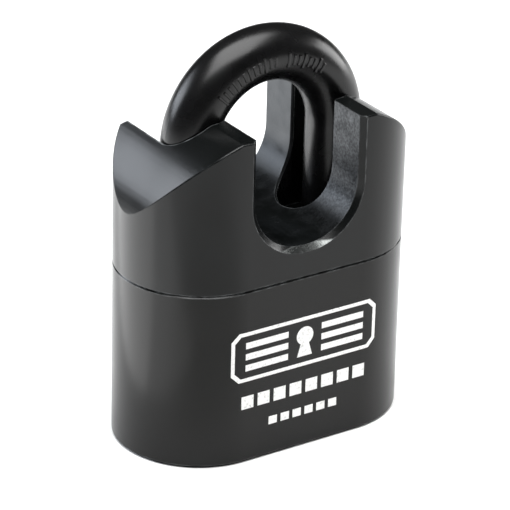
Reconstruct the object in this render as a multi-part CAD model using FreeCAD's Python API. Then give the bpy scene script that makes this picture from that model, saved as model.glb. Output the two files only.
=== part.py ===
"""Closed-shoulder disc padlock: hardened two-piece body, round shackle and a disc cylinder.

Frame: millimetres, +Z up, origin at the centre of the flat base the lock stands on.
X runs across the two shackle legs (toe leg at -X, heel leg at +X), the front face looks along -Y.
The lock is drawn closed, with its cylinder turned to the open position.
"""

import FreeCAD, Part
import math
import os

from FreeCAD import Vector

# ---- body -------------------------------------------------------------------------------------
BODY_WIDTH = 60.0  # across the legs
BODY_DEPTH = 33.4  # front to back; the ends of the body are half rounds of this width
LOWER_HEIGHT = 36.2  # base to the seam between the two body halves
SHOULDER_TOP = 66.3  # flat lands beside the shackle
SHOULDER_SIDE = 49.8  # where the shoulder curve meets the outer end
SHOULDER_RADIUS = 24.8  # convex curve of each shoulder
LAND_WIDTH = 3.35  # flat land from the gap's wall to the shoulder curve
GAP_WIDTH = 23.1  # U-shaped gap between the shoulders
GAP_FLOOR = 42.5
GAP_CORNER = 11.0  # radius between the gap's floor and walls
GAP_CHAMFER = 1.05
SEAM_CHAMFER = 0.25
BASE_CHAMFER = 0.5
EDGE_BREAK = 0.35  # rounding of the shoulder's edges
MOUTH_EASE = 1.8  # chamfer, where the toe leg's exit channel meets the body's outside
BASE_WALL = 4.5  # thickness under the cylinder

# ---- shackle ----------------------------------------------------------------------------------
BAR_DIAMETER = 10.8
LEG_SHOWING = 0.6  # how far each leg stands out of the gap's wall
LEG_CLEARANCE = 0.3  # radial, leg in its bore
ARCH_CENTRE = 59.5  # height where the legs turn into the half-round arch
TOE_END = 23.5
HEEL_END = 3.2
HEEL_BORE_END = 2.7
TOE_BORE_END = 22.5
SHACKLE_LIFT = 20.0
LEG_TIP_CHAMFER = 1.2

# ---- pocket beside the heel leg ---------------------------------------------------------------
POCKET_RADIUS = 6.8
POCKET_INSET = 0.6  # pocket centre behind the gap's wall
POCKET_FLOOR = 39.2
POCKET_CHAMFER = 0.5

# ---- locking balls ----------------------------------------------------------------------------
BALL_DIAMETER = 7.0
BALL_HEIGHT = 30.0
BALL_BITE = 2.2  # how deep a ball stands in its leg
BALL_CLEARANCE = 0.08  # ball in its cross bore
NOTCH_CLEARANCE = 0.15  # ball in the shackle's notch or groove
CAM_CLEARANCE = 0.1  # cam to ball, and cam to ball cage
BALL_RETREAT = 0.05  # gap left between the drawn-back ball and the leg bore

# ---- cylinder ---------------------------------------------------------------------------------
CYLINDER_BORE = 16.5  # diameter in the lower body
SEAT_CLEARANCE = 0.04  # radial, fixed pieces in the bore
RUN_CLEARANCE = 0.05  # radial, turning pieces
NOSE_CLEARANCE = 0.1  # radial, key guard in the base
STACK_CLEARANCE = 0.05  # axial, between stacked pieces
SLEEVE_WALL = 1.25
SLEEVE_GROOVE = 0.75  # depth of the sidebar's groove in the sleeve
CAGE_WALL = 0.9
SLEEVE_TOP = 23.5
GUARD_STEP = 1.01  # the guard's nose is this much smaller in radius than its flange
GUARD_NOSE_DEPTH = 0.8  # the keyway face sits this far inside the base
GUARD_FLANGE = 1.7
DISC_COUNT = 9
DISC_THICKNESS = 1.15
SPACER_THICKNESS = 0.4
KEYWAY_RADIUS = 3.2
KEYWAY_FLAT = -1.1  # flat side of the half-moon keyway, along Y
KEYWAY_LEAD_IN = 0.6  # depth and width of the funnel at the keyway's mouth
KEYWAY_FLAT_EASE = 0.3  # how far the funnel reaches past the flat side
SPACER_EASE = 0.4  # radial, key to the spacers' holes
SIDEBAR_WIDTH = 1.6
SIDEBAR_HEIGHT = 1.9
SIDEBAR_CLEARANCE = 0.06
FALSE_GATE_DEPTH = 0.45
FALSE_GATE_START = 45  # degrees from the true gate to the nearest false gate
FALSE_GATE_STEP = 18  # degrees between the places that a false gate may take
FALSE_GATE_PLACES = 5
CAM_FLANGE = 1.8  # full disc under the cam's working height
CAM_STEPS = 12
TANG_WIDTH = 3.6
TANG_LENGTH = 9.0
CAGE_END_WALL = 1.4
PLATE_THICKNESS = 2.2
PLATE_DIAMETER = 18.8
SLEEVE_PIN_DIAMETER = 1.8

# ---- body pins --------------------------------------------------------------------------------
PIN_DIAMETER = 4.6
PIN_CLEARANCE = 0.02
PIN_X = 16.5
PIN_Y = 11.8
PIN_COVER = 1.8  # body left between a pin's end and the gap's floor
PIN_TIP_CHAMFER = 0.4
PIN_END_GAP = 0.2

# ---- worked out from the sizes above ----------------------------------------------------------
END_RADIUS = BODY_DEPTH / 2
GAP_HALF = GAP_WIDTH / 2
BAR_RADIUS = BAR_DIAMETER / 2
LEG_X = GAP_HALF - LEG_SHOWING + BAR_RADIUS
LEG_BORE = BAR_RADIUS + LEG_CLEARANCE
BALL_RADIUS = BALL_DIAMETER / 2
BALL_OUT = LEG_X - BAR_RADIUS + BALL_BITE - BALL_RADIUS  # |x| of a ball that holds its leg
BALL_IN = LEG_X - LEG_BORE - BALL_RADIUS - BALL_RETREAT  # |x| of the drawn-back toe ball
BALL_TRAVEL = BALL_OUT - BALL_IN
CAM_RADIUS = BALL_OUT - BALL_RADIUS - CAM_CLEARANCE
BORE_RADIUS = CYLINDER_BORE / 2
SLEEVE_RADIUS = BORE_RADIUS - SEAT_CLEARANCE
SLEEVE_BORE = SLEEVE_RADIUS - SLEEVE_WALL
CAGE_RADIUS = SLEEVE_BORE - RUN_CLEARANCE
CAGE_BORE = CAGE_RADIUS - CAGE_WALL
DISC_RADIUS = CAGE_BORE - RUN_CLEARANCE
GUARD_NOSE_RADIUS = CAGE_RADIUS - GUARD_STEP
APERTURE_RADIUS = GUARD_NOSE_RADIUS + NOSE_CLEARANCE
GUARD_TOP = BASE_WALL + STACK_CLEARANCE + GUARD_FLANGE
CAGE_TOP = SLEEVE_TOP - STACK_CLEARANCE
STACK_BOTTOM = GUARD_TOP + 2 * STACK_CLEARANCE
STACK_TOP = CAGE_TOP - CAGE_END_WALL
DISC_PITCH = (STACK_TOP - STACK_BOTTOM) / DISC_COUNT
PLATE_BOTTOM = LOWER_HEIGHT - PLATE_THICKNESS
CAM_BOTTOM = SLEEVE_TOP + STACK_CLEARANCE
CAM_TOP = PLATE_BOTTOM - STACK_CLEARANCE
PIN_TOP = GAP_FLOOR - PIN_COVER
PIN_HOLE = PIN_DIAMETER / 2 + PIN_CLEARANCE
END_CENTRE = BODY_WIDTH / 2 - END_RADIUS
LONG = 4 * BODY_WIDTH  # longer than anything, for cutters that pass right through


def cylinder(x, y, bottom, top, radius):
    """Upright cylinder."""
    return Part.makeCylinder(radius, top - bottom, Vector(x, y, bottom))


def block(x0, x1, y0, y1, z0, z1):
    """Box between two corners."""
    return Part.makeBox(x1 - x0, y1 - y0, z1 - z0, Vector(x0, y0, z0))


def tube(bottom, top, outer, inner):
    """Upright tube on the cylinder's axis."""
    return cylinder(0, 0, bottom, top, outer).cut(cylinder(0, 0, bottom, top, inner))


def cone(bottom, top, radius_bottom, radius_top, x=0, y=0):
    """Upright cone frustum."""
    return Part.makeCone(radius_bottom, radius_top, top - bottom, Vector(x, y, bottom))


def stadium(bottom, top):
    """Body section, a rectangle with half-round ends, between two heights."""
    middle = block(-END_CENTRE, END_CENTRE, -END_RADIUS, END_RADIUS, bottom, top)
    ends = [cylinder(side * END_CENTRE, 0, bottom, top, END_RADIUS) for side in (-1, 1)]
    return middle.fuse(ends).removeSplitter()


def outer_edges(shape, height):
    """Edges of the body's outline in the plane at this height."""
    found = []
    for edge in shape.Edges:
        box = edge.BoundBox
        flat = abs(box.ZMin - height) < 1e-6 and abs(box.ZMax - height) < 1e-6
        if flat and (box.YMax > END_RADIUS - 1e-4 or box.YMin < -END_RADIUS + 1e-4):
            found.append(edge)
    return found


def prism(edges, depth):
    """Closed outline of edges in the XZ plane, extruded front to back about Y = 0."""
    face = Part.Face(Part.Wire(edges))
    face.translate(Vector(0, -depth / 2, 0))
    return face.extrude(Vector(0, depth, 0))


def shoulder_centre():
    """Centre (x, z) of the right shoulder's curve, from its two ends and its radius."""
    low = Vector(BODY_WIDTH / 2, 0, SHOULDER_SIDE)
    high = Vector(GAP_HALF + LAND_WIDTH, 0, SHOULDER_TOP)
    half = (high - low) * 0.5
    inward = Vector(-half.z, 0, half.x).normalize()
    middle = low + half
    return middle + inward * math.sqrt(SHOULDER_RADIUS**2 - half.Length**2)


def shoulder_outline():
    """Outline of the upper body seen from the front, with both shoulders and no gap yet."""
    centre = shoulder_centre()
    land_end = GAP_HALF + LAND_WIDTH
    side = centre.x + SHOULDER_RADIUS
    land_angle = math.atan2(SHOULDER_TOP - centre.z, land_end - centre.x)
    bulge_x = centre.x + SHOULDER_RADIUS * math.cos(land_angle / 2)
    bulge_z = centre.z + SHOULDER_RADIUS * math.sin(land_angle / 2)
    right = [Vector(side, 0, centre.z), Vector(bulge_x, 0, bulge_z), Vector(land_end, 0, SHOULDER_TOP)]
    left = [Vector(-point.x, 0, point.z) for point in right]
    right_low = Vector(side, 0, LOWER_HEIGHT)
    left_low = Vector(-side, 0, LOWER_HEIGHT)
    return [
        Part.makeLine(left_low, right_low),
        Part.makeLine(right_low, right[0]),
        Part.Arc(*right).toShape(),
        Part.makeLine(right[2], left[2]),
        Part.Arc(left[2], left[1], left[0]).toShape(),
        Part.makeLine(left[0], left_low),
    ]


def gap_outline(grow):
    """Outline of the U-shaped gap, grown outwards by this much."""
    half = GAP_HALF + grow
    floor = GAP_FLOOR - grow
    corner = GAP_CORNER + grow
    top = SHOULDER_TOP + GAP_CHAMFER + 1
    bend = corner * math.sqrt(0.5)
    inner = half - corner
    right_bend = Vector(inner + bend, 0, floor + corner - bend)
    left_bend = Vector(-inner - bend, 0, floor + corner - bend)
    return [
        Part.makeLine(Vector(-half, 0, top), Vector(-half, 0, floor + corner)),
        Part.Arc(Vector(-half, 0, floor + corner), left_bend, Vector(-inner, 0, floor)).toShape(),
        Part.makeLine(Vector(-inner, 0, floor), Vector(inner, 0, floor)),
        Part.Arc(Vector(inner, 0, floor), right_bend, Vector(half, 0, floor + corner)).toShape(),
        Part.makeLine(Vector(half, 0, floor + corner), Vector(half, 0, top)),
        Part.makeLine(Vector(half, 0, top), Vector(-half, 0, top)),
    ]


def gap_cutter():
    """The gap's straight cutter with a flare at the front and back faces for the chamfer."""
    cutter = prism(gap_outline(0), LONG)
    for side in (-1, 1):
        inner_wire = Part.Wire(gap_outline(0))
        outer_wire = Part.Wire(gap_outline(2 * GAP_CHAMFER))
        inner_wire.translate(Vector(0, side * (END_RADIUS - GAP_CHAMFER), 0))
        outer_wire.translate(Vector(0, side * (END_RADIUS + GAP_CHAMFER), 0))
        flare = Part.makeLoft([inner_wire, outer_wire], True, True)
        cutter = cutter.fuse(flare)
    return cutter


def heel_pocket():
    """Relief pocket on the inner side of the heel leg, open to the gap."""
    return cylinder(GAP_HALF + POCKET_INSET, 0, POCKET_FLOOR, SHOULDER_TOP + 1, POCKET_RADIUS)


def pocket_rim(shape):
    """Edges where the heel pocket meets the gap's floor and its curved corner."""
    found = []
    for edge in shape.Edges:
        box = edge.BoundBox
        in_corner = box.ZMin > GAP_FLOOR - 0.01 and box.ZMax < GAP_FLOOR + GAP_CORNER + 0.01
        ends = [math.hypot(v.X - GAP_HALF - POCKET_INSET, v.Y) for v in edge.Vertexes]
        if in_corner and ends and all(abs(end - POCKET_RADIUS) < 1e-3 for end in ends) and box.YLength > 0.1:
            found.append(edge)
    return found


def exit_channel():
    """Cut behind the toe leg, through which the raised leg swings out to the back."""
    return block(-LEG_X - LEG_BORE, 0, 0, LONG, GAP_FLOOR, LONG)


def exit_mouth():
    """Chamfer on the upright corner where the exit channel's wall meets the body's outside."""
    wall = LEG_X + LEG_BORE
    mouth = math.sqrt(END_RADIUS**2 - max(0, wall - END_CENTRE) ** 2)
    start = Vector(-wall, mouth - MOUTH_EASE, GAP_FLOOR)
    corners = [start, start + Vector(0, LONG, 0), start + Vector(-LONG, LONG, 0), start]
    return Part.Face(Part.makePolygon(corners)).extrude(Vector(0, 0, LONG))


def arch_clearance():
    """Room for the arch where it bends inwards below the shoulders' lands."""
    ring = Part.makeTorus(LEG_X, LEG_BORE, Vector(0, 0, ARCH_CENTRE), Vector(0, 1, 0))
    return ring.common(block(-LONG, LONG, -LONG, LONG, ARCH_CENTRE, LONG))


def pin_places():
    """Centres of the four body pins."""
    return [(sx * PIN_X, sy * PIN_Y) for sx in (-1, 1) for sy in (-1, 1)]


def shoulder_edges(shape):
    """Outer edges of the shoulder curves, lands and exit channel, above the body's side height."""
    found = []
    for edge in shape.Edges:
        box = edge.BoundBox
        outside = max(abs(box.XMin), abs(box.XMax)) > GAP_HALF + 2 * GAP_CHAMFER
        on_skin = all(on_outline(vertex.Point) for vertex in edge.Vertexes)
        high = box.ZMin > SHOULDER_SIDE - 1 and box.ZMax - box.ZMin < SHOULDER_TOP - SHOULDER_SIDE + 1
        upright = box.ZLength > 0.1 and box.XLength < 1e-4 and box.YLength < 1e-4
        if outside and on_skin and high and not upright:
            found.append(edge)
    return found


def on_outline(point):
    """Whether a point lies on the stadium outline."""
    beyond = max(abs(point.x) - END_CENTRE, 0)
    return abs(math.hypot(beyond, point.y) - END_RADIUS) < 1e-3


def upper_body():
    """Upper half of the body: two tall shoulders round the shackle with the gap between."""
    body = prism(shoulder_outline(), LONG).common(stadium(LOWER_HEIGHT, SHOULDER_TOP + 1))
    body = body.makeFillet(EDGE_BREAK, shoulder_edges(body))
    body = body.makeChamfer(SEAM_CHAMFER, outer_edges(body, LOWER_HEIGHT))
    body = body.cut([gap_cutter(), heel_pocket()])
    body = body.makeChamfer(POCKET_CHAMFER, pocket_rim(body))
    cutters = [exit_channel(), exit_mouth(), arch_clearance()]
    for side in (-1, 1):
        cutters.append(cylinder(side * LEG_X, 0, LOWER_HEIGHT - 1, SHOULDER_TOP + 1, LEG_BORE))
    for x, y in pin_places():
        cutters.append(cylinder(x, y, LOWER_HEIGHT - 1, PIN_TOP + PIN_END_GAP, PIN_HOLE))
    return body.cut(cutters)


def lower_body():
    """Lower half of the body: holds the cylinder, the balls and the shackle legs."""
    body = stadium(0, LOWER_HEIGHT)
    body = body.makeChamfer(SEAM_CHAMFER, outer_edges(body, LOWER_HEIGHT))
    body = body.makeChamfer(BASE_CHAMFER, outer_edges(body, 0))
    over = LOWER_HEIGHT + 1
    cutters = [
        cylinder(0, 0, BASE_WALL, over, BORE_RADIUS),
        cylinder(0, 0, PLATE_BOTTOM, over, PLATE_DIAMETER / 2 + SEAT_CLEARANCE),
        cylinder(0, 0, -1, over, APERTURE_RADIUS),
        cone(-0.01, GUARD_NOSE_DEPTH, APERTURE_RADIUS + GUARD_NOSE_DEPTH, APERTURE_RADIUS),
        cylinder(-LEG_X, 0, TOE_BORE_END, over, LEG_BORE),
        cylinder(LEG_X, 0, HEEL_BORE_END, over, LEG_BORE),
        ball_bore(LEG_X),
        sleeve_pin_hole(),
    ]
    for x, y in pin_places():
        cutters.append(cylinder(x, y, -1, over, PIN_HOLE))
    return body.cut(cutters)


def ball_bore(reach):
    """Cross bore of the two balls, along X."""
    radius = BALL_RADIUS + BALL_CLEARANCE
    return Part.makeCylinder(radius, 2 * reach, Vector(-reach, 0, BALL_HEIGHT), Vector(1, 0, 0))


def sleeve_pin_hole():
    """Hole half in the body and half in the sleeve, which keeps the sleeve from turning."""
    radius = SLEEVE_PIN_DIAMETER / 2 + PIN_CLEARANCE
    return cylinder(0, BORE_RADIUS, BASE_WALL, PLATE_BOTTOM, radius)


def sleeve_pin():
    """Pin beside the sleeve, as long as the sleeve."""
    return cylinder(0, BORE_RADIUS, BASE_WALL, SLEEVE_TOP, SLEEVE_PIN_DIAMETER / 2)


def body_pins():
    """Four hardened pins pressed in from the base, which hold the two halves together."""
    radius = PIN_DIAMETER / 2
    pins = []
    for x, y in pin_places():
        shank = cylinder(x, y, PIN_TIP_CHAMFER, PIN_TOP - PIN_TIP_CHAMFER, radius)
        foot = cone(0, PIN_TIP_CHAMFER, radius - PIN_TIP_CHAMFER, radius, x, y)
        tip = cone(PIN_TOP - PIN_TIP_CHAMFER, PIN_TOP, radius, radius - PIN_TIP_CHAMFER, x, y)
        pins.append(shank.fuse([foot, tip]).removeSplitter())
    return Part.makeCompound(pins)


def shackle():
    """Round bar bent to a half-round arch, with a notched toe leg and a grooved heel leg."""
    section = Part.Face(Part.Wire(Part.makeCircle(BAR_RADIUS, Vector(LEG_X, 0, ARCH_CENTRE), Vector(0, 0, 1))))
    arch = section.revolve(Vector(0, 0, ARCH_CENTRE), Vector(0, -1, 0), 180)
    toe = leg(-LEG_X, TOE_END)
    heel = leg(LEG_X, HEEL_END)
    bar = arch.fuse([toe, heel]).removeSplitter()
    notch_radius = BALL_RADIUS + NOTCH_CLEARANCE
    toe_notch = Part.makeCylinder(
        notch_radius, 2 * BAR_DIAMETER, Vector(-BALL_OUT, -BAR_DIAMETER, BALL_HEIGHT), Vector(0, 1, 0)
    )
    neck_height = BALL_HEIGHT - SHACKLE_LIFT
    heel_groove = cylinder(BALL_OUT, 0, neck_height, BALL_HEIGHT, notch_radius)
    groove_end = Part.makeSphere(notch_radius, Vector(BALL_OUT, 0, BALL_HEIGHT))
    neck = Part.makeTorus(LEG_X - BALL_OUT, notch_radius, Vector(LEG_X, 0, neck_height), Vector(0, 0, 1))
    return bar.cut([toe_notch, heel_groove, groove_end, neck])


def leg(x, end):
    """Straight leg from its chamfered end up to the arch."""
    tip = cone(end, end + LEG_TIP_CHAMFER, BAR_RADIUS - LEG_TIP_CHAMFER, BAR_RADIUS, x)
    return cylinder(x, 0, end + LEG_TIP_CHAMFER, ARCH_CENTRE, BAR_RADIUS).fuse(tip)


def ball(x):
    """Locking ball on the cross bore's axis."""
    return Part.makeSphere(BALL_RADIUS, Vector(x, 0, BALL_HEIGHT))


def keyway(bottom, top):
    """Half-moon keyway."""
    round_part = cylinder(0, 0, bottom, top, KEYWAY_RADIUS)
    return round_part.common(block(-LONG, LONG, KEYWAY_FLAT, LONG, bottom, top))


def sidebar_slot(bottom, top, depth, width):
    """Radial slot on the +X side of the turning pieces, this deep from the cage's outside."""
    return block(CAGE_RADIUS - depth, LONG, -width / 2, width / 2, bottom, top)


def cylinder_sleeve():
    """Fixed sleeve in which the cage turns, with the long groove that takes the sidebar."""
    sleeve = tube(BASE_WALL, SLEEVE_TOP, SLEEVE_RADIUS, SLEEVE_BORE)
    half = SIDEBAR_WIDTH / 2 + SIDEBAR_CLEARANCE
    groove = block(-half, half, -SLEEVE_BORE - SLEEVE_GROOVE, 0, GUARD_TOP, STACK_TOP)
    return sleeve.cut([groove, sleeve_pin_hole()])


def ball_cage():
    """Fixed ring round the cam, which guides the two balls."""
    ring = tube(CAM_BOTTOM, PLATE_BOTTOM, SLEEVE_RADIUS, CAM_RADIUS + CAM_CLEARANCE)
    return ring.cut(ball_bore(BORE_RADIUS))


def cover_plate():
    """Disc that closes the cylinder under the upper body."""
    return cylinder(0, 0, PLATE_BOTTOM, LOWER_HEIGHT, PLATE_DIAMETER / 2)


def key_guard():
    """Hardened turning disc in the base, with the keyway."""
    nose = cylinder(0, 0, GUARD_NOSE_DEPTH, GUARD_TOP, GUARD_NOSE_RADIUS)
    flange = cylinder(0, 0, BASE_WALL + STACK_CLEARANCE, GUARD_TOP, CAGE_RADIUS)
    mouth = KEYWAY_RADIUS + KEYWAY_LEAD_IN
    lead_in = cone(GUARD_NOSE_DEPTH, GUARD_NOSE_DEPTH + KEYWAY_LEAD_IN, mouth, KEYWAY_RADIUS)
    lead_in = lead_in.common(block(-LONG, LONG, KEYWAY_FLAT - KEYWAY_FLAT_EASE, LONG, 0, GUARD_TOP))
    return nose.fuse(flange).cut([keyway(0, GUARD_TOP), lead_in])


def rotor_cage():
    """Turning tube that holds the discs, slotted for the sidebar, with the cam's drive slot on top."""
    bottom = GUARD_TOP + STACK_CLEARANCE
    cage = tube(bottom, CAGE_TOP, CAGE_RADIUS, CAGE_BORE)
    end_wall = cylinder(0, 0, STACK_TOP, CAGE_TOP, CAGE_RADIUS)
    drive_slot = block(
        -TANG_LENGTH / 2 - SIDEBAR_CLEARANCE,
        TANG_LENGTH / 2 + SIDEBAR_CLEARANCE,
        -TANG_WIDTH / 2 - SIDEBAR_CLEARANCE,
        TANG_WIDTH / 2 + SIDEBAR_CLEARANCE,
        STACK_TOP - 1,
        CAGE_TOP,
    )
    width = SIDEBAR_WIDTH + 2 * SIDEBAR_CLEARANCE
    slot = sidebar_slot(STACK_BOTTOM, STACK_TOP, SIDEBAR_HEIGHT, width)
    return cage.fuse(end_wall).cut([drive_slot, slot])


def gate(depth, angle, bottom, top):
    """Notch in a disc's rim at this angle in degrees."""
    half = SIDEBAR_WIDTH / 2 + SIDEBAR_CLEARANCE
    notch = block(DISC_RADIUS - depth, LONG, -half, half, bottom, top)
    notch.rotate(Vector(0, 0, 0), Vector(0, 0, 1), angle)
    return notch


def detainer_disc(number):
    """One coded disc: half-moon hole, true gate under the sidebar and two shallow false gates."""
    bottom = STACK_BOTTOM + (number - 1) * DISC_PITCH + STACK_CLEARANCE
    top = bottom + DISC_THICKNESS
    disc = cylinder(0, 0, bottom, top, DISC_RADIUS)
    true_depth = DISC_RADIUS - (CAGE_RADIUS - SIDEBAR_HEIGHT) + SIDEBAR_CLEARANCE
    false_places = [number * step % FALSE_GATE_PLACES for step in (2, 3)]
    false_angles = [FALSE_GATE_START + FALSE_GATE_STEP * place for place in false_places]
    gates = [gate(true_depth, 0, bottom, top)]
    gates += [gate(FALSE_GATE_DEPTH, angle * side, bottom, top) for angle, side in zip(false_angles, (1, -1))]
    return disc.cut(gates + [keyway(bottom, top)])


def spacer_washers():
    """Thin washers between neighbouring discs."""
    washers = []
    for number in range(1, DISC_COUNT):
        below = STACK_BOTTOM + (number - 1) * DISC_PITCH + STACK_CLEARANCE + DISC_THICKNESS
        above = STACK_BOTTOM + number * DISC_PITCH + STACK_CLEARANCE
        middle = (below + above) / 2
        washer = tube(
            middle - SPACER_THICKNESS / 2, middle + SPACER_THICKNESS / 2, DISC_RADIUS, KEYWAY_RADIUS + SPACER_EASE
        )
        depth = SIDEBAR_HEIGHT + SIDEBAR_CLEARANCE
        width = SIDEBAR_WIDTH + 2 * SIDEBAR_CLEARANCE
        washers.append(washer.cut(sidebar_slot(0, LONG, depth, width)))
    return Part.makeCompound(washers)


def sidebar():
    """Bar that lies in the true gates of all discs while the cage may turn."""
    bottom = STACK_BOTTOM + SIDEBAR_CLEARANCE
    top = STACK_TOP - SIDEBAR_CLEARANCE
    bar = sidebar_slot(bottom, top, SIDEBAR_HEIGHT - SIDEBAR_CLEARANCE, SIDEBAR_WIDTH)
    return bar.common(cylinder(0, 0, bottom, top, CAGE_RADIUS - RUN_CLEARANCE))


def drive_cam():
    """Cam that pushes the toe ball out over a quarter turn and always backs the heel ball."""
    cam = cylinder(0, 0, CAM_BOTTOM, CAM_TOP, CAM_RADIUS)
    hollows = []
    for step in range(CAM_STEPS):
        share = step / CAM_STEPS
        distance = BALL_IN + share * BALL_TRAVEL
        angle = math.pi * (1 + share / 2)
        x = distance * math.cos(angle)
        y = distance * math.sin(angle)
        hollows.append(cylinder(x, y, CAM_BOTTOM + CAM_FLANGE, LOWER_HEIGHT, BALL_RADIUS + CAM_CLEARANCE))
    half = TANG_WIDTH / 2
    tang = block(-TANG_LENGTH / 2, TANG_LENGTH / 2, -half, half, STACK_TOP + STACK_CLEARANCE, CAM_BOTTOM)
    return cam.cut(hollows).fuse(tang).removeSplitter()


def pieces():
    """Every piece of the lock by its name."""
    made = {
        "lower_body": lower_body(),
        "upper_body": upper_body(),
        "body_pins": body_pins(),
        "shackle": shackle(),
        "cylinder_sleeve": cylinder_sleeve(),
        "sleeve_pin": sleeve_pin(),
        "key_guard": key_guard(),
        "rotor_cage": rotor_cage(),
        "spacer_washers": spacer_washers(),
        "sidebar": sidebar(),
        "drive_cam": drive_cam(),
        "ball_cage": ball_cage(),
        "cover_plate": cover_plate(),
        "toe_ball": ball(-BALL_IN),
        "heel_ball": ball(BALL_OUT),
    }
    for number in range(1, DISC_COUNT + 1):
        made[f"detainer_disc_{number}"] = detainer_disc(number)
    return made


os.makedirs("parts", exist_ok=True)
for name, shape in pieces().items():
    shape.exportStep(f"parts/{name}.step")
    print(name, len(shape.Solids), round(shape.Volume), shape.isValid())
print(f"shackle lift {SHACKLE_LIFT}, ball travel {BALL_TRAVEL:.3f}")
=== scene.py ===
import math

import bmesh
import bpy
from mathutils import Matrix, Vector


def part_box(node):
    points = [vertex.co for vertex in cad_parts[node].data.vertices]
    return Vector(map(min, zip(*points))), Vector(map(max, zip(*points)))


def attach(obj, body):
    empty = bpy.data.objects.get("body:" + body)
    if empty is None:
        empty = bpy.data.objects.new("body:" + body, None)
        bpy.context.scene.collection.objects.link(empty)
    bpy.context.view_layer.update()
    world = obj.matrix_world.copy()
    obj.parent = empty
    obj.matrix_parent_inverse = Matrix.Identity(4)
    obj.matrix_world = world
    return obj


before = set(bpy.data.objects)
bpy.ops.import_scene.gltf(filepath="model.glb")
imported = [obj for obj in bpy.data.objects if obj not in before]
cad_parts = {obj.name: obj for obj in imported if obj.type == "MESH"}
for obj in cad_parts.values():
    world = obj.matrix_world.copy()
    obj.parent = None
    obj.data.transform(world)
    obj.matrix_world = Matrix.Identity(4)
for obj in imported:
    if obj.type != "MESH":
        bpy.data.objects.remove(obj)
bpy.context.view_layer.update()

# Looks of a closed-shoulder padlock: satin black hardened body in two halves with a bare, rubbed gap
# (painted shade on its walls' front, a painted highlight on its lip), gloss black shackle with a raised
# graduation, bright key guard in the base, white print on the front. Lengths are in metres.

MM = 0.001

# ---- places and sizes read from the frame -----------------------------------------------------
LOWER_LOW, LOWER_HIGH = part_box("lower_body")
SHACKLE_LOW, SHACKLE_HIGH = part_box("shackle")
END_RADIUS = -LOWER_LOW.y  # the body's ends are half rounds as wide as the body is deep
END_CENTRE = LOWER_HIGH.x - END_RADIUS
BAR_DIAMETER = SHACKLE_HIGH.y - SHACKLE_LOW.y
LEG_X = SHACKLE_HIGH.x - BAR_DIAMETER / 2
ARCH_CENTRE = SHACKLE_HIGH.z - BAR_DIAMETER / 2 - LEG_X

# ---- sizes of the looks -----------------------------------------------------------------------
GAP_HALF = 11.55 * MM  # half the width of the gap between the shoulders
GAP_FLOOR = 42.5 * MM
GAP_CORNER = 11.0 * MM
GAP_CHAMFER = 1.05 * MM

PRINT_STANDS = 0.03 * MM  # thickness of the ink above the lacquer
PRINT_COLUMN = 1.0 * MM  # the print is cut into columns this wide, so that it can bend round the ends
LABEL_HEIGHT = 22.6 * MM  # height of the label's middle over the base
LABEL_WIDTH = 33.0 * MM
LABEL_DEPTH = 10.4 * MM
LABEL_LINE = 0.75 * MM
LABEL_CLIP = 1.6 * MM  # cut off each corner of the label's frame
LABEL_INNER_CLIP = LABEL_CLIP - 0.4 * LABEL_LINE
LABEL_BAR_LENGTH = 9.6 * MM  # three bars at each side of the keyhole
LABEL_BAR_DEPTH = 1.3 * MM
LABEL_BAR_PITCH = 2.35 * MM
LABEL_BAR_MIDDLE = 8.6 * MM  # from the label's middle to the bars' middle
KEYHOLE_RADIUS = 1.9 * MM
KEYHOLE_FOOT_WIDTH = 3.4 * MM
KEYHOLE_FOOT_DEPTH = 4.3 * MM
KEYHOLE_RISE = 1.2 * MM  # of the round eye over the label's middle
UPPER_ROW_COUNT = 8
UPPER_ROW_BLOCK = 2.7 * MM
UPPER_ROW_PITCH = 3.65 * MM
UPPER_ROW_HEIGHT = 12.9 * MM
LOWER_ROW_COUNT = 6
LOWER_ROW_WIDTH = 1.9 * MM
LOWER_ROW_DEPTH = 1.7 * MM
LOWER_ROW_PITCH = 2.75 * MM
LOWER_ROW_HEIGHT = 7.6 * MM

MARK_COUNT = 20
MARK_BREAK = 11.5  # the row has a break after the bar with this index
MARK_BREAK_STEPS = 1.5  # length of the break, in steps of the row
MARK_FIRST = math.radians(-48)  # along the arch from its top, towards the toe leg
MARK_LAST = math.radians(37)
MARK_TURN = math.radians(90)  # round the bar, from the arch's inner side towards the front
MARK_WIDTH = 0.55 * MM
MARK_LENGTH = 3.0 * MM
MARK_STANDS = 0.14 * MM
MARK_SHORT = 0.7  # length of the shorter bars, as a share of the full length
MARK_LONG_EVERY = 3.0  # one bar in this many has its full length


def colour(value):
    """Linear RGBA from an sRGB hex value such as "#1a1b1c"."""
    channels = [int(value[i : i + 2], 16) / 255 for i in (1, 3, 5)]
    linear = [c / 12.92 if c <= 0.04045 else ((c + 0.055) / 1.055) ** 2.4 for c in channels]
    return (*linear, 1.0)


def add(tree, kind, inputs=None, out=0, **settings):
    """Adds a node with its settings. Each input is a value, or an output to link from."""
    node = tree.nodes.new(kind)
    for name, value in settings.items():
        setattr(node, name, value)
    for key, value in (inputs or {}).items():
        if isinstance(value, bpy.types.NodeSocket):
            tree.links.new(value, node.inputs[key])
        else:
            node.inputs[key].default_value = value
    return node.outputs[out] if node.outputs else None


# Numbered inputs: Math takes 0, 1 and 2. Map Range takes its value at 0, the range that it comes from
# at 1 and 2, and the range that it goes to at 3 and 4. A colour Mix takes its factor at 0 and its two
# colours at 6 and 7, and gives its result at 2.
COLOUR_MIX = {"out": 2, "data_type": "RGBA"}


def per_mm(size):
    """Scale of a pattern whose features are this many millimetres across."""
    return 1 / (size * MM)


def start_material(name):
    """An empty node material, with its tree and its Object coordinates."""
    made = bpy.data.materials.new(name)
    made.use_nodes = True
    made.node_tree.nodes.clear()
    coords = add(made.node_tree, "ShaderNodeTexCoord", out="Object")
    return made, made.node_tree, coords


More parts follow.
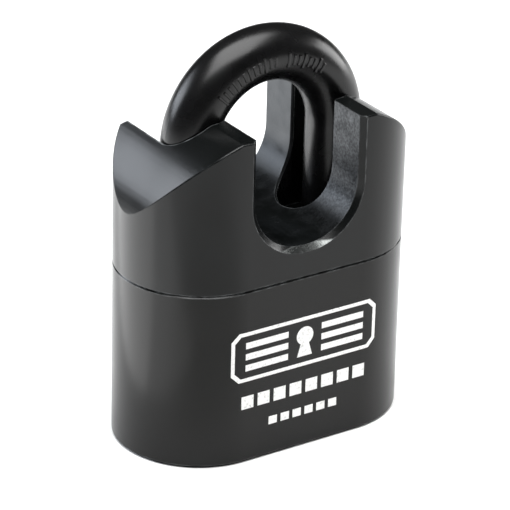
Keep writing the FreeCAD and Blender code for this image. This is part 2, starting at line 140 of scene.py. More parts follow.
def finish_material(made, inputs):
    """Gives the material a Principled shader with these inputs."""
    surface = add(made.node_tree, "ShaderNodeBsdfPrincipled", inputs, out="BSDF")
    add(made.node_tree, "ShaderNodeOutputMaterial", {"Surface": surface})
    return made


# ---- lacquered body ---------------------------------------------------------------------------
def edge_wear_and_highlights(tree, coords):
    """1 on sharp edges, in patches, and 0 elsewhere: rubbed to the steel by handling, and a painted
    highlight along the edges.
    """
    soft = add(tree, "ShaderNodeBevel", {"Radius": 0.4 * MM}, samples=6)
    flat = add(tree, "ShaderNodeNewGeometry", out="True Normal")
    agree = add(tree, "ShaderNodeVectorMath", {0: soft, 1: flat}, out="Value", operation="DOT_PRODUCT")
    edge = add(tree, "ShaderNodeMapRange", {0: agree, 1: 0.985, 2: 0.92, 3: 0.0, 4: 1.0})
    patches = add(tree, "ShaderNodeTexNoise", {"Vector": coords, "Scale": per_mm(2.4), "Detail": 4.0})
    wear_and_sheen_mask = add(tree, "ShaderNodeMapRange", {0: patches, 1: 0.42, 2: 0.62, 3: 0.15, 4: 0.9})
    return add(tree, "ShaderNodeMath", {0: edge, 1: wear_and_sheen_mask}, operation="MULTIPLY")


LACQUER_IOR = 1.34  # a thin coat over a dark oxide mirrors less than a thick one
RELIEF_DEPTH = 0.004 * MM
SHOULDER_RELIEF = 16.0  # the shoulders' streaks, in heights of the sides' streaks
PIT_RELIEF = 6.0  # the bare walls' pits, in heights of the lacquer's relief
# grey of the rubbed edges, also a painted highlight along them
EDGE_WEAR_HIGHLIGHT_GREY = "#6f7273"
# bright steel of the rubbed lip, also a painted highlight on it
LIP_WEAR_HIGHLIGHT_GREY = "#7c7f7e"


def lacquer_skin(tree, coords, dark, light):
    """Colour, roughness and relief of the body's lacquer.
    Broad, faint clouds from the dip, the cutter's streaks showing through (upright on the sides,
    front to back on the shoulders), and the fine pebble of a thin coat. Rubbed edges show the grey
    of the steel in patches, and the same grey is also a painted highlight along the edges."""
    clouds = add(tree, "ShaderNodeTexNoise", {"Vector": coords, "Scale": per_mm(12.0), "Detail": 2.0})
    tint = add(tree, "ShaderNodeValToRGB", {"Fac": clouds})
    ramp = tint.node.color_ramp.elements
    ramp[0].position, ramp[0].color = 0.35, colour(dark)
    ramp[1].position, ramp[1].color = 0.65, colour(light)
    # rubbed edges show grey steel, which also paints a highlight along the sharp edges
    wear_and_sheen_mask = edge_wear_and_highlights(tree, coords)
    shown = add(tree, "ShaderNodeMix", {0: wear_and_sheen_mask, 6: tint, 7: colour(EDGE_WEAR_HIGHLIGHT_GREY)}, **COLOUR_MIX)
    upright = add(tree, "ShaderNodeMapping", {"Vector": coords, "Scale": (1.0, 1.0, 0.03)})
    on_sides = add(tree, "ShaderNodeTexNoise", {"Vector": upright, "Scale": per_mm(0.3), "Detail": 3.0})
    lengthways = add(tree, "ShaderNodeMapping", {"Vector": coords, "Scale": (1.0, 0.02, 1.0)})
    on_top = add(tree, "ShaderNodeTexNoise", {"Vector": lengthways, "Scale": per_mm(0.9), "Detail": 4.0})
    flat = add(tree, "ShaderNodeNewGeometry", out="True Normal")
    upward = add(tree, "ShaderNodeSeparateXYZ", {"Vector": flat}, out="Z")
    is_top = add(tree, "ShaderNodeMapRange", {0: upward, 1: 0.05, 2: 0.15, 3: 0.0, 4: 1.0})
    tall = add(tree, "ShaderNodeMath", {0: on_top, 1: SHOULDER_RELIEF}, operation="MULTIPLY")
    streaks = add(tree, "ShaderNodeMix", {"Factor": is_top, "A": on_sides, "B": tall})
    pebble = add(tree, "ShaderNodeTexNoise", {"Vector": coords, "Scale": per_mm(0.35), "Detail": 2.0})
    relief = add(tree, "ShaderNodeMix", {"Factor": 0.5, "A": streaks, "B": pebble})
    rough = add(tree, "ShaderNodeMapRange", {0: clouds, 1: 0.3, 2: 0.7, 3: 0.21, 4: 0.27})
    return shown, rough, relief


def satin_black_lacquer():
    """Black dip lacquer on milled steel: satin, nearly black face on, pale at grazing angles."""
    made, tree, coords = start_material("satin_black_lacquer")
    shown, rough, relief = lacquer_skin(tree, coords, "#060605", "#0b0b0a")
    normal = add(tree, "ShaderNodeBump", {"Height": relief, "Distance": RELIEF_DEPTH, "Strength": 0.5})
    inputs = {"Base Color": shown, "Roughness": rough, "Normal": normal, "IOR": LACQUER_IOR}
    return finish_material(made, inputs)


def between(tree, value, low, high):
    """1 where a length lies between two limits, with soft ends, and 0 outside."""
    soft = 0.12 * MM  # half the width of a soft end
    rise = add(tree, "ShaderNodeMapRange", {0: value, 1: low - soft, 2: low + soft, 3: 0.0, 4: 1.0})
    fall = add(tree, "ShaderNodeMapRange", {0: value, 1: high - soft, 2: high + soft, 3: 1.0, 4: 0.0})
    return add(tree, "ShaderNodeMath", {0: rise, 1: fall}, operation="MULTIPLY")


def inside_gap(tree, axes):
    """1 inside the gap as seen from above, clear of its front and back chamfers, and 0 elsewhere.
    Also the same for the gap's width alone."""
    across = add(tree, "ShaderNodeMath", {0: axes["X"]}, operation="ABSOLUTE")
    deep = add(tree, "ShaderNodeMath", {0: axes["Y"]}, operation="ABSOLUTE")
    in_width = between(tree, across, -1.0, GAP_HALF + 0.2 * MM)
    in_depth = between(tree, deep, -1.0, END_RADIUS - GAP_CHAMFER)
    in_plan = add(tree, "ShaderNodeMath", {0: in_width, 1: in_depth}, operation="MULTIPLY")
    return in_plan, in_width


def on_gap_walls(tree, axes, stains):
    """0 up to the start of the gap's walls and 1 further up them, with a ragged edge."""
    ragged = add(tree, "ShaderNodeMath", {0: stains, 1: 5.0 * MM, 2: axes["Z"]}, operation="MULTIPLY_ADD")
    wall_start = GAP_FLOOR + 0.25 * GAP_CORNER
    wall_full = GAP_FLOOR + 0.95 * GAP_CORNER
    return add(tree, "ShaderNodeMapRange", {0: ragged, 1: wall_start, 2: wall_full, 3: 0.0, 4: 1.0})


def wall_steel_and_shade(tree, axes, stains, pits):
    """Bare steel of the gap's walls: finely pitted in front, smooth at the back; painted shade makes the
    front dark, the back grey.
    """
    pitted = add(tree, "ShaderNodeMapRange", {0: pits, 1: 0.28, 2: 0.68, 3: 0.0, 4: 1.0})
    front = add(tree, "ShaderNodeValToRGB", {"Fac": pitted})
    ramp = front.node.color_ramp.elements
    # the front's dark tones are painted shade on the pitted steel
    ramp[0].position, ramp[0].color = 0.0, colour("#17181a")
    ramp[1].position, ramp[1].color = 1.0, colour("#434547")
    back_tones = {0: stains, 6: colour("#303234"), 7: colour("#434547")}
    back = add(tree, "ShaderNodeMix", back_tones, **COLOUR_MIX)
    # painted shade: darker towards the front, fading towards the back with a ragged edge
    drift = add(tree, "ShaderNodeMath", {0: stains, 1: 8.0 * MM, 2: axes["Y"]}, operation="MULTIPLY_ADD")
    shade_fade = add(tree, "ShaderNodeMapRange", {0: drift, 1: -2.0 * MM, 2: 8.0 * MM, 3: 0.0, 4: 1.0})
    return add(tree, "ShaderNodeMix", {0: shade_fade, 6: front, 7: back}, **COLOUR_MIX)


def lip_wear_and_highlight(tree, axes, in_width, pits):
    """1 on the chamfers at the two ends of the gap's floor, in patches: rubbed to the steel, and a painted
    highlight there.
    """
    deep = add(tree, "ShaderNodeMath", {0: axes["Y"]}, operation="ABSOLUTE")
    fading = {0: axes["Z"], 1: GAP_FLOOR + 0.3 * MM, 2: GAP_FLOOR, 3: 0.0, 4: 1.0}
    bottom = {0: axes["Z"], 1: GAP_FLOOR - GAP_CHAMFER}
    limits = [
        add(tree, "ShaderNodeMapRange", fading),
        add(tree, "ShaderNodeMath", bottom, operation="GREATER_THAN"),
        in_width,
        add(tree, "ShaderNodeMath", {0: deep, 1: END_RADIUS - 0.02 * MM}, operation="LESS_THAN"),
        add(tree, "ShaderNodeMath", {0: deep, 1: END_RADIUS - GAP_CHAMFER}, operation="GREATER_THAN"),
        add(tree, "ShaderNodeMapRange", {0: pits, 1: 0.30, 2: 0.42, 3: 0.2, 4: 1.0}),
    ]
    lip = limits[0]
    for limit in limits[1:]:
        lip = add(tree, "ShaderNodeMath", {0: lip, 1: limit}, operation="MULTIPLY")
    return lip


def lacquer_with_bare_gap():
    """The same lacquer outside, thinning to bare, bath-pitted steel on the gap's two walls, which turn
    black towards the gap's floor; painted shade darkens the walls' front part. The lip of the floor is
    rubbed bright in the middle, as worn steel and as a painted highlight."""
    made, tree, coords = start_material("satin_black_lacquer_bare_gap")
    shown, rough, relief = lacquer_skin(tree, coords, "#060707", "#0a0c0c")
    axes = add(tree, "ShaderNodeSeparateXYZ", {"Vector": coords}).node.outputs
    blotches = {"Vector": coords, "Scale": per_mm(3.0), "Detail": 5.0, "Roughness": 0.6}
    stains = add(tree, "ShaderNodeTexNoise", blotches)
    pits = add(tree, "ShaderNodeTexNoise", {"Vector": coords, "Scale": per_mm(0.45), "Detail": 4.0})
    in_plan, in_width = inside_gap(tree, axes)
    on_walls = on_gap_walls(tree, axes, stains)
    bare = add(tree, "ShaderNodeMath", {0: in_plan, 1: on_walls}, operation="MULTIPLY")
    # bare wall colour, with painted shade on its front part
    steel = wall_steel_and_shade(tree, axes, stains, pits)
    base = add(tree, "ShaderNodeMix", {0: bare, 6: shown, 7: steel}, **COLOUR_MIX)
    steel_rough = add(tree, "ShaderNodeMapRange", {0: stains, 1: 0.35, 2: 0.65, 3: 0.30, 4: 0.46})
    roughness = add(tree, "ShaderNodeMix", {"Factor": bare, "A": rough, "B": steel_rough})
    pit_relief = add(tree, "ShaderNodeMath", {0: pits, 1: PIT_RELIEF}, operation="MULTIPLY")
    height = add(tree, "ShaderNodeMix", {"Factor": bare, "A": relief, "B": pit_relief})
    normal = add(tree, "ShaderNodeBump", {"Height": height, "Distance": RELIEF_DEPTH, "Strength": 0.6})
    # the lip: rubbed steel in patches, and a painted highlight on the floor's front and back edges
    lip = lip_wear_and_highlight(tree, axes, in_width, pits)
    base = add(tree, "ShaderNodeMix", {0: lip, 6: base, 7: colour(LIP_WEAR_HIGHLIGHT_GREY)}, **COLOUR_MIX)
    metal = add(tree, "ShaderNodeMath", {0: bare, 1: lip}, operation="MAXIMUM")
    dull = add(tree, "ShaderNodeMapRange", {0: in_plan, 1: 0.0, 2: 1.0, 3: 0.5, 4: 0.2})
    inputs = {"Base Color": base, "Roughness": roughness, "Metallic": metal, "Normal": normal}
    inputs.update({"IOR": LACQUER_IOR, "Specular IOR Level": dull})
    return finish_material(made, inputs)


# ---- other materials --------------------------------------------------------------------------
def gloss_black_lacquer():
    """Thick gloss lacquer on the forged bar: deep black, with clear reflections that waver a little."""
    made, tree, coords = start_material("gloss_black_lacquer")
    waves = add(tree, "ShaderNodeTexNoise", {"Vector": coords, "Scale": per_mm(5.0), "Detail": 2.0})
    tones = {0: waves, 6: colour("#050505"), 7: colour("#0c0c0d")}
    tint = add(tree, "ShaderNodeMix", tones, **COLOUR_MIX)
    rough = add(tree, "ShaderNodeMapRange", {0: waves, 1: 0.3, 2: 0.7, 3: 0.23, 4: 0.30})
    normal = add(tree, "ShaderNodeBump", {"Height": waves, "Distance": 0.02 * MM, "Strength": 0.4})
    return finish_material(made, {"Base Color": tint, "Roughness": rough, "Normal": normal, "IOR": 1.4})


def turned_steel():
    """Tool steel turned on a lathe: bright, with fine rings round the cylinder's axis that catch light."""
    made, tree, coords = start_material("turned_tool_steel")
    rings = add(
        tree,
        "ShaderNodeTexWave",
        {"Vector": coords, "Scale": 0.25 / MM, "Distortion": 0.5, "Detail": 1.0},
        out="Fac",
        wave_type="RINGS",
        rings_direction="Z",
    )
    grain = add(tree, "ShaderNodeTexNoise", {"Vector": coords, "Scale": per_mm(0.5), "Detail": 3.0})
    tones = {0: grain, 6: colour("#7d8083"), 7: colour("#a6a8aa")}
    tint = add(tree, "ShaderNodeMix", tones, **COLOUR_MIX)
    rough = add(tree, "ShaderNodeMapRange", {0: grain, 1: 0.3, 2: 0.7, 3: 0.26, 4: 0.40})
    normal = add(tree, "ShaderNodeBump", {"Height": rings, "Distance": 0.01 * MM, "Strength": 0.5})
    return finish_material(made, {"Base Color": tint, "Roughness": rough, "Normal": normal, "Metallic": 1.0})


def blackened_pin_steel():
    """Pin ends ground flush and blackened with the body: straight scratches under a thin dark film."""
    made, tree, coords = start_material("blackened_pin_steel")
    along = add(tree, "ShaderNodeMapping", {"Vector": coords, "Scale": (0.05, 1.0, 1.0)})
    scratches = add(tree, "ShaderNodeTexNoise", {"Vector": along, "Scale": per_mm(0.2), "Detail": 3.0})
    tones = {0: scratches, 6: colour("#2a2b2d"), 7: colour("#4c4e50")}
    tint = add(tree, "ShaderNodeMix", tones, **COLOUR_MIX)
    rough = add(tree, "ShaderNodeMapRange", {0: scratches, 1: 0.3, 2: 0.7, 3: 0.30, 4: 0.45})
    normal = add(tree, "ShaderNodeBump", {"Height": scratches, "Distance": 0.006 * MM, "Strength": 0.5})
    return finish_material(made, {"Base Color": tint, "Roughness": rough, "Normal": normal, "Metallic": 1.0})


def polished_ball_steel():
    """Bearing steel ground and lapped to a mirror, with a faint haze."""
    made, tree, coords = start_material("polished_ball_steel")
    haze = add(tree, "ShaderNodeTexNoise", {"Vector": coords, "Scale": per_mm(1.5), "Detail": 2.0})
    tones = {0: haze, 6: colour("#b4b7ba"), 7: colour("#c9cbce")}
    tint = add(tree, "ShaderNodeMix", tones, **COLOUR_MIX)
    rough = add(tree, "ShaderNodeMapRange", {0: haze, 1: 0.3, 2: 0.7, 3: 0.06, 4: 0.14})
    return finish_material(made, {"Base Color": tint, "Roughness": rough, "Metallic": 1.0})


def machined_brass():
    """Free-cutting brass of the sleeve, cage and discs: warm yellow, finely scratched by machining."""
    made, tree, coords = start_material("machined_brass")
    grain = add(tree, "ShaderNodeTexNoise", {"Vector": coords, "Scale": per_mm(0.4), "Detail": 3.0})
    tones = {0: grain, 6: colour("#b08d4a"), 7: colour("#c7a45e")}
    tint = add(tree, "ShaderNodeMix", tones, **COLOUR_MIX)
    rough = add(tree, "ShaderNodeMapRange", {0: grain, 1: 0.3, 2: 0.7, 3: 0.25, 4: 0.38})
    normal = add(tree, "ShaderNodeBump", {"Height": grain, "Distance": 0.006 * MM, "Strength": 0.4})
    return finish_material(made, {"Base Color": tint, "Roughness": rough, "Normal": normal, "Metallic": 1.0})


def white_print_ink():
    """Pad-printed enamel ink: matt white, slightly grey where the ink lies thin."""
    made, tree, coords = start_material("white_print_ink")
    thin = add(tree, "ShaderNodeTexNoise", {"Vector": coords, "Scale": per_mm(0.5), "Detail": 3.0})
    cover = add(tree, "ShaderNodeMapRange", {0: thin, 1: 0.22, 2: 0.42, 3: 0.0, 4: 1.0})
    tones = {0: cover, 6: colour("#b9bab8"), 7: colour("#fbfbf9")}
    tint = add(tree, "ShaderNodeMix", tones, **COLOUR_MIX)
    rough = add(tree, "ShaderNodeMapRange", {0: thin, 1: 0.3, 2: 0.7, 3: 0.5, 4: 0.65})
    normal = add(tree, "ShaderNodeBump", {"Height": thin, "Distance": 0.004 * MM, "Strength": 0.4})
    return finish_material(made, {"Base Color": tint, "Roughness": rough, "Normal": normal})


def dress(material, *nodes):
    """Gives CAD nodes a material."""
    for name in nodes:
        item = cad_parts[name]
        item.data.materials.clear()
        item.data.materials.append(material)


SHACKLE_LACQUER = gloss_black_lacquer()
DISCS = sorted(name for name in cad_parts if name.startswith("detainer_disc"))
STEEL_NODES = ["key_guard", "cover_plate", "ball_cage", "sleeve_pin", "sidebar", "drive_cam"]
STEEL_NODES.append("spacer_washers")
dress(satin_black_lacquer(), "lower_body")
dress(lacquer_with_bare_gap(), "upper_body")
dress(blackened_pin_steel(), "body_pins")
dress(SHACKLE_LACQUER, "shackle")
dress(polished_ball_steel(), "toe_ball", "heel_ball")
dress(turned_steel(), *STEEL_NODES)
dress(machined_brass(), "cylinder_sleeve", "rotor_cage", *DISCS)


# ---- print on the front -----------------------------------------------------------------------
def rectangle(width, depth, x=0.0, z=0.0, clip=0.0):
    """Corners of a rectangle, with this much cut off each corner."""
    a = width / 2
    b = depth / 2
    half = [(a - clip, -b), (a, -b + clip), (a, b - clip), (a - clip, b)] if clip else [(a, -b), (a, b)]
    corners = half + [(-px, -pz) for px, pz in half]
    return [(x + px, z + pz) for px, pz in corners]


def keyhole(radius, foot_width, foot_depth, x=0.0, z=0.0):
    """Outline of a plain keyhole: a round eye above a tapered foot. The eye is open at the bottom,
    over a sixth of its circle."""
    steps = 24
    start = math.radians(-60)
    step = math.radians(300) / steps
    turns = [start + i * step for i in range(steps + 1)]
    eye = [(x + radius * math.cos(turn), z + radius * math.sin(turn)) for turn in turns]
    return eye + [(x - foot_width / 2, z - foot_depth), (x + foot_width / 2, z - foot_depth)]


def block_row(count, width, depth, pitch, z):
    """A row of equal plain blocks, centred on the front."""
    first = -(count - 1) / 2 * pitch
    return [rectangle(width, depth, first + i * pitch, z) for i in range(count)]


def print_outlines():
    """A clipped frame round a keyhole between bars, and two rows of plain blocks under it."""
    mid = LABEL_HEIGHT
    inner_width = LABEL_WIDTH - 2 * LABEL_LINE
    inner_depth = LABEL_DEPTH - 2 * LABEL_LINE
    outlines = [
        rectangle(LABEL_WIDTH, LABEL_DEPTH, 0, mid, LABEL_CLIP),
        rectangle(inner_width, inner_depth, 0, mid, LABEL_INNER_CLIP),
        keyhole(KEYHOLE_RADIUS, KEYHOLE_FOOT_WIDTH, KEYHOLE_FOOT_DEPTH, 0, mid + KEYHOLE_RISE),
    ]
    for side in (-1, 1):
        for row in (-1, 0, 1):
            x = side * LABEL_BAR_MIDDLE
            z = mid + row * LABEL_BAR_PITCH
            outlines.append(rectangle(LABEL_BAR_LENGTH, LABEL_BAR_DEPTH, x, z))
    upper_block = (UPPER_ROW_BLOCK, UPPER_ROW_BLOCK)
    lower_block = (LOWER_ROW_WIDTH, LOWER_ROW_DEPTH)
    outlines += block_row(UPPER_ROW_COUNT, *upper_block, UPPER_ROW_PITCH, UPPER_ROW_HEIGHT)
    outlines += block_row(LOWER_ROW_COUNT, *lower_block, LOWER_ROW_PITCH, LOWER_ROW_HEIGHT)
    return outlines


def plate_from_outlines(name, outlines, thickness):
    """A thin plate in the XY plane. An outline inside another is a hole, and one inside that is solid."""
    curve = bpy.data.curves.new(name, "CURVE")
    curve.dimensions = "2D"
    curve.fill_mode = "BOTH"
    curve.extrude = thickness
    for outline in outlines:
        spline = curve.splines.new("POLY")
        spline.points.add(len(outline) - 1)
        for point, (x, y) in zip(spline.points, outline):
            point.co = (x, y, 0, 1)
        spline.use_cyclic_u = True
    holder = bpy.data.objects.new(name, curve)
    bpy.context.scene.collection.objects.link(holder)
    bpy.context.view_layer.update()
    mesh = bpy.data.meshes.new_from_object(holder.evaluated_get(bpy.context.evaluated_depsgraph_get()))
    bpy.data.objects.remove(holder)
    return mesh


def cut_into_columns(mesh, half_width, column):
    """Cuts a plate across its width, so that it can be bent."""
    shape = bmesh.new()
    shape.from_mesh(mesh)
    bmesh.ops.remove_doubles(shape, verts=shape.verts, dist=1e-7)
    steps = math.ceil(half_width / column)
    for step in range(-steps, steps + 1):
        everything = shape.verts[:] + shape.edges[:] + shape.faces[:]
        bmesh.ops.bisect_plane(shape, geom=everything, plane_co=(step * column, 0, 0), plane_no=(1, 0, 0))
    bmesh.ops.recalc_face_normals(shape, faces=shape.faces)
    shape.to_mesh(mesh)
    shape.free()


def wrap_on_front(mesh):
    """Lays a plate drawn in XY on the body's front, and round the ends where it is wider than the flat."""
    for vertex in mesh.vertices:
        along, up, proud = vertex.co
        turn = max(abs(along) - END_CENTRE, 0) / END_RADIUS
        reach = END_RADIUS + proud
        x = math.copysign(min(abs(along), END_CENTRE) + reach * math.sin(turn), along)
        vertex.co = (x, -reach * math.cos(turn), up)


def front_print():
    """Generic white print on the lower body's front."""
    mesh = plate_from_outlines("front_print", print_outlines(), PRINT_STANDS)
    cut_into_columns(mesh, LABEL_WIDTH / 2, PRINT_COLUMN)
    wrap_on_front(mesh)
    mesh.materials.append(white_print_ink())
    piece = bpy.data.objects.new("front_print", mesh)
    bpy.context.scene.collection.objects.link(piece)
    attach(piece, "lock_body")


# ---- raised marks on the shackle --------------------------------------------------------------
def mark_bar():
    """A small raised bar standing on Z = 0, with sloped sides and a softened top."""
    mesh = bpy.data.meshes.new("mark_bar")
    shape = bmesh.new()
    # share of the bar's width, share of its length, and height in heights of the mark
    levels = [(1.0, 1.0, -2.0), (1.0, 1.0, 0.2), (0.8, 0.93, 0.8), (0.5, 0.85, 1.0)]
    loops = []
    for wide, long, up in levels:
        a = MARK_WIDTH / 2 * wide
        b = MARK_LENGTH / 2 * long
        corners = ((-a, -b), (a, -b), (a, b), (-a, b))
        loops.append([shape.verts.new((x, y, up * MARK_STANDS)) for x, y in corners])
    for low, high in zip(loops, loops[1:]):
        for i in range(4):
            shape.faces.new((low[i], low[(i + 1) % 4], high[(i + 1) % 4], high[i]))
    shape.faces.new(loops[-1])
    shape.faces.new(reversed(loops[0]))
    shape.to_mesh(mesh)
    shape.free()
    bar = bpy.data.objects.new("mark_bar", mesh)
    bpy.context.scene.collection.objects.link(bar)
    return bar


def mark_row_tree(bar):
    """Geometry Nodes: stands bars at equal steps along the arch, in two groups. One bar in three has
    its full length."""
    tree = bpy.data.node_groups.new("shackle_mark_row", "GeometryNodeTree")
    tree.interface.new_socket("Geometry", in_out="OUTPUT", socket_type="NodeSocketGeometry")
    lengths = ("Arch Radius", "Bar Radius", "Turn", "First Angle", "Last Angle", "Short Length")
    for name in (*lengths, "Break After", "Break Steps"):
        tree.interface.new_socket(name, in_out="INPUT", socket_type="NodeSocketFloat")
    tree.interface.new_socket("Count", in_out="INPUT", socket_type="NodeSocketInt")
    given = add(tree, "NodeGroupInput").node.outputs
    index = add(tree, "GeometryNodeInputIndex")
    past = add(tree, "ShaderNodeMath", {0: index, 1: given["Break After"]}, operation="GREATER_THAN")
    skipped = {0: past, 1: given["Break Steps"], 2: index}
    step = add(tree, "ShaderNodeMath", skipped, operation="MULTIPLY_ADD")
    steps = add(tree, "ShaderNodeMath", {0: given["Count"], 1: 1.0}, operation="SUBTRACT")
    last = add(tree, "ShaderNodeMath", {0: steps, 1: given["Break Steps"]}, operation="ADD")
    limits = {0: step, 1: 0.0, 2: last, 3: given["First Angle"], 4: given["Last Angle"]}
    angle = add(tree, "ShaderNodeMapRange", limits)
    turn_cosine = add(tree, "ShaderNodeMath", {0: given["Turn"]}, operation="COSINE")
    turn_sine = add(tree, "ShaderNodeMath", {0: given["Turn"]}, operation="SINE")
    inward = add(tree, "ShaderNodeMath", {0: given["Bar Radius"], 1: turn_cosine}, operation="MULTIPLY")
    forward = add(tree, "ShaderNodeMath", {0: given["Bar Radius"], 1: turn_sine}, operation="MULTIPLY")
    reach = add(tree, "ShaderNodeMath", {0: given["Arch Radius"], 1: inward}, operation="SUBTRACT")
    spoke = add(tree, "ShaderNodeCombineXYZ", {"Z": reach})
    swing = add(tree, "ShaderNodeVectorRotate", {"Vector": spoke, "Angle": angle}, rotation_type="Y_AXIS")
    to_front = add(tree, "ShaderNodeMath", {0: forward, 1: -1.0}, operation="MULTIPLY")
    offset = add(tree, "ShaderNodeCombineXYZ", {"Y": to_front})
    place = add(tree, "ShaderNodeVectorMath", {0: swing, 1: offset}, operation="ADD")
    line = add(tree, "GeometryNodeMeshLine", {"Count": given["Count"], "Offset": (0, 0, 0)})
    points = add(tree, "GeometryNodeSetPosition", {"Geometry": line, "Position": place})
    lean = add(tree, "ShaderNodeMath", {0: math.pi, 1: given["Turn"]}, operation="SUBTRACT")
    lean_euler = add(tree, "ShaderNodeCombineXYZ", {"X": lean})
    swing_euler = add(tree, "ShaderNodeCombineXYZ", {"Y": angle})
    leaning = add(tree, "FunctionNodeEulerToRotation", {0: lean_euler})
    swinging = add(tree, "FunctionNodeEulerToRotation", {0: swing_euler})
    turned = add(tree, "FunctionNodeRotateRotation", {0: leaning, 1: swinging}, rotation_space="GLOBAL")
    third = add(tree, "ShaderNodeMath", {0: index, 1: MARK_LONG_EVERY}, operation="MODULO")
    is_long = add(tree, "ShaderNodeMath", {0: third, 1: 0.5}, operation="LESS_THAN")
    length = add(tree, "ShaderNodeMapRange", {0: is_long, 1: 0.0, 2: 1.0, 3: given["Short Length"], 4: 1.0})
    size = add(tree, "ShaderNodeCombineXYZ", {"X": 1.0, "Y": length, "Z": 1.0})
    holder = add(tree, "GeometryNodeObjectInfo", {"Object": bar}, out="Geometry")
    row = add(
        tree,
        "GeometryNodeInstanceOnPoints",
        {"Points": points, "Instance": holder, "Rotation": turned, "Scale": size},
    )
    real = add(tree, "GeometryNodeRealizeInstances", {"Geometry": row})
    coated = add(tree, "GeometryNodeSetMaterial", {"Geometry": real, "Material": SHACKLE_LACQUER})
    add(tree, "NodeGroupOutput", {"Geometry": coated})
    return tree


def shackle_marks():
    """Plain graduation of raised bars, forged on the arch's inner front side."""
    bar = mark_bar()
    maker = bpy.data.objects.new("mark_maker", bpy.data.meshes.new("mark_maker"))
    bpy.context.scene.collection.objects.link(maker)
    modifier = maker.modifiers.new("row", "NODES")
    modifier.node_group = mark_row_tree(bar)
    values = {
        "Arch Radius": LEG_X,
        "Bar Radius": BAR_DIAMETER / 2,
        "Turn": MARK_TURN,
        "First Angle": MARK_FIRST,
        "Last Angle": MARK_LAST,
        "Short Length": MARK_SHORT,
        "Break After": MARK_BREAK,
        "Break Steps": MARK_BREAK_STEPS,
        "Count": MARK_COUNT,
    }
    for socket in modifier.node_group.interface.items_tree:
        if socket.in_out == "INPUT":
            modifier[socket.identifier] = values[socket.name]
    bpy.context.view_layer.update()
    mesh = bpy.data.meshes.new_from_object(maker.evaluated_get(bpy.context.evaluated_depsgraph_get()))
    maker.modifiers.clear()
    bpy.data.objects.remove(maker)
    bpy.data.objects.remove(bar)
    mesh.transform(Matrix.Translation((0, 0, ARCH_CENTRE)))
    piece = bpy.data.objects.new("shackle_marks", mesh)
    bpy.context.scene.collection.objects.link(piece)
    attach(piece, "shackle")


front_print()
shackle_marks()


# ---- floor, light and camera ------------------------------------------------------------------
FLOOR_REACH = 6.0  # from the middle to each side
# painted shadow on the floor, in front at the left, which the body's front mirrors
FLOOR_SHADOW_CENTRE = (-45 * MM, -85 * MM, 0.0)
FLOOR_SHADOW_CORE = 45 * MM  # radius within which the patch is fully dull
FLOOR_SHADOW_END = 80 * MM  # radius at which it has faded out
WORLD_STRENGTH = 0.06
CARD_HEIGHT = 0.003  # of the two cards that lie at the left


def plain_floor():
    """Pale matt floor, large enough to fill every view, with a painted shadow: a duller patch in front at
    the left.
    """
    mesh = bpy.data.meshes.new("floor")
    shape = bmesh.new()
    a = FLOOR_REACH
    corners = [shape.verts.new((x, y, 0)) for x, y in ((-a, -a), (a, -a), (a, a), (-a, a))]
    shape.faces.new(corners)
    shape.to_mesh(mesh)
    shape.free()
    made, tree, coords = start_material("white_paper")
    fibres = add(tree, "ShaderNodeTexNoise", {"Vector": coords, "Scale": per_mm(2.0), "Detail": 3.0})
    tones = {0: fibres, 6: colour("#f4f4f3"), 7: colour("#fafafa")}
    paper = add(tree, "ShaderNodeMix", tones, **COLOUR_MIX)
    ends = {0: coords, 1: FLOOR_SHADOW_CENTRE}
    reach = add(tree, "ShaderNodeVectorMath", ends, out="Value", operation="DISTANCE")
    limits = {"Value": reach, "From Min": FLOOR_SHADOW_CORE, "From Max": FLOOR_SHADOW_END}
    clear = add(tree, "ShaderNodeMapRange", limits, interpolation_type="SMOOTHSTEP")
    # tone of the painted shadow patch, blended into the paper
    tones = {0: clear, 6: colour("#d0d0ce"), 7: paper}
    tint = add(tree, "ShaderNodeMix", tones, **COLOUR_MIX)
    mesh.materials.append(finish_material(made, {"Base Color": tint, "Roughness": 0.9}))
    floor = bpy.data.objects.new("floor", mesh)
    bpy.context.scene.collection.objects.link(floor)


def soft_box(name, place, aim, size, power, tone="#ffffff"):
    """A rectangular area light that looks at a point. The camera doesn't see it."""
    data = bpy.data.lights.new(name, "AREA")
    data.shape = "RECTANGLE"
    data.size, data.size_y = size
    data.energy = power
    data.color = colour(tone)[:3]
    light = bpy.data.objects.new(name, data)
    light.visible_camera = False
    light.location = place
    light.rotation_euler = (Vector(aim) - Vector(place)).to_track_quat("-Z", "Y").to_euler()
    bpy.context.scene.collection.objects.link(light)


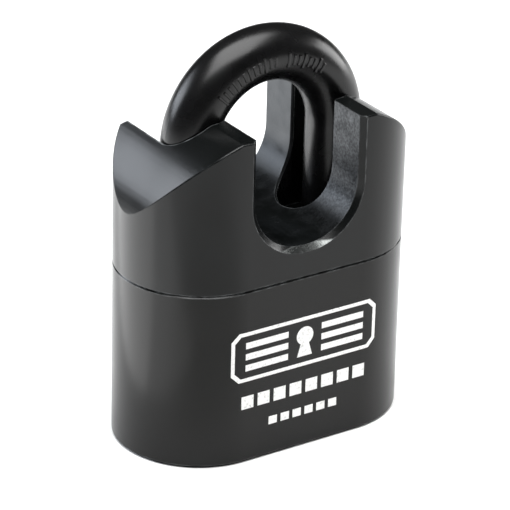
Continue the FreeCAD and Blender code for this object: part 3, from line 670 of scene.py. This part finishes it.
def studio():
    """Soft white studio: boxes behind at the left, overhead and at the right, and two weak cards that
    lie at the left and shine up. Each has its place, aim, size and power."""
    world = bpy.data.worlds.new("studio")
    bpy.context.scene.world = world
    world.use_nodes = True
    background = world.node_tree.nodes["Background"]
    background.inputs["Color"].default_value = colour("#ffffff")
    background.inputs["Strength"].default_value = WORLD_STRENGTH
    middle = (0, 0, 0.05)
    card = (-0.15, 0.16, CARD_HEIGHT)
    front_card = (-0.15, -0.025, CARD_HEIGHT)
    soft_box("back_left_box", (-0.652, 0.724, 0.385), middle, (0.62, 0.44), 7.0, "#f0f6ff")
    soft_box("top_box", (-0.05, -0.10, 1.0), middle, (0.95, 0.95), 21.0)
    soft_box("right_box", (0.95, -0.10, 0.22), middle, (0.5, 0.4), 4.5)
    soft_box("left_card", card, (*card[:2], 1.0), (0.20, 0.32), 0.48)
    soft_box("left_card_front", front_card, (*front_card[:2], 1.0), (0.20, 0.05), 0.03)
    bpy.context.scene.view_settings.view_transform = "Standard"


def front_left_camera():
    """Long lens at the front left, a little above. Angles are taken round Z from the front and up from
    level. The lens and the sensor's width are in millimetres."""
    azimuth = math.radians(33.81)
    elevation = math.radians(25.45)
    distance = 609.3 * MM
    roll = math.radians(1.466)
    aim_right = -0.605 * MM
    aim_height = 33.84 * MM
    level = math.cos(elevation)
    back = Vector((-math.sin(azimuth) * level, -math.cos(azimuth) * level, math.sin(elevation)))
    right = Vector((math.cos(azimuth), -math.sin(azimuth), 0))
    up = back.cross(right)
    target = right * aim_right + Vector((0, 0, aim_height))
    data = bpy.data.cameras.new("camera")
    data.sensor_width = 36
    data.lens = 223.3
    data.clip_start = 0.01
    data.clip_end = 100
    camera = bpy.data.objects.new("camera", data)
    facing = Matrix((right, up, back)).transposed().to_4x4()
    turned = facing @ Matrix.Rotation(roll, 4, "Z")
    camera.matrix_world = Matrix.Translation(target + back * distance) @ turned
    bpy.context.scene.collection.objects.link(camera)
    bpy.context.scene.camera = camera


plain_floor()
studio()
front_left_camera()
